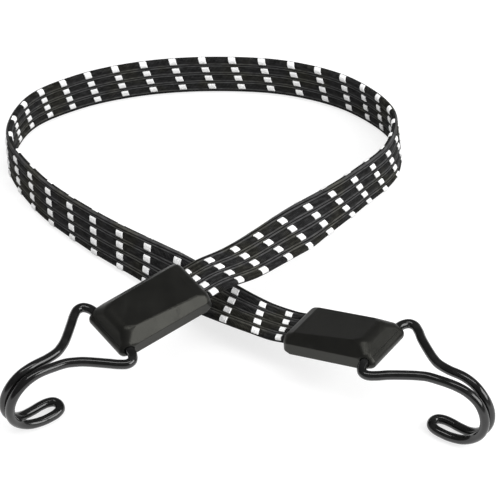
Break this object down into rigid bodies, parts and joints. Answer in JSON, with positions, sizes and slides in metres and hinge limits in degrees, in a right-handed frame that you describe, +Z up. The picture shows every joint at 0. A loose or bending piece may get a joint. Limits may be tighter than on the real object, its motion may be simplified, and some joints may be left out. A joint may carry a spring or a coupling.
{
  "type": "flat bungee cord",
  "caption": "Flat woven elastic strap with a wedge-shaped plastic cap and a swinging bent-wire hook at each end, lying in a crossed loop.",
  "frame": {"origin": "on the floor, under the middle of the box round the two caps and hooks", "axes": "+X from the left hook to the right hook, +Y from the hooks to the loop of the strap, +Z up"},
  "size_m": [0.1807, 0.1944, 0.0335],
  "materials": {
    "strap_weave": "black weave with white dashes",
    "rubber": "plain latex",
    "cap_plastic": "satin black",
    "clip_steel": "plain",
    "hook_wire": "glossy black coating"
  },
  "bodies": {
    "strap": {"strap_cover": "strap_weave", "rubber_strand_1": "rubber", "rubber_strand_2": "rubber", "rubber_strand_3": "rubber", "rubber_strand_4": "rubber", "rubber_strand_5": "rubber", "rubber_strand_6": "rubber", "rubber_strand_7": "rubber", "rubber_strand_8": "rubber", "right_upper_shell": "cap_plastic", "right_lower_shell": "cap_plastic", "left_upper_shell": "cap_plastic", "left_lower_shell": "cap_plastic", "right_strap_clip": "clip_steel", "left_strap_clip": "clip_steel"},
    "right_hook": {"right_hook": "hook_wire"},
    "left_hook": {"left_hook": "hook_wire"}
  },
  "joints": [
    {"name": "right_hook_swing", "type": "hinge", "parent": "strap", "child": "right_hook", "pos_m": [0.0481, -0.0035, 0.02593], "axis": [-0.5614, -0.8249, 0.0663], "range_deg": [-70, 105]},
    {"name": "left_hook_swing", "type": "hinge", "parent": "strap", "child": "left_hook", "pos_m": [-0.0477, 0.0031, 0.02617], "axis": [-0.5894, 0.8071, 0.0348], "range_deg": [-90, 85]}
  ]
}
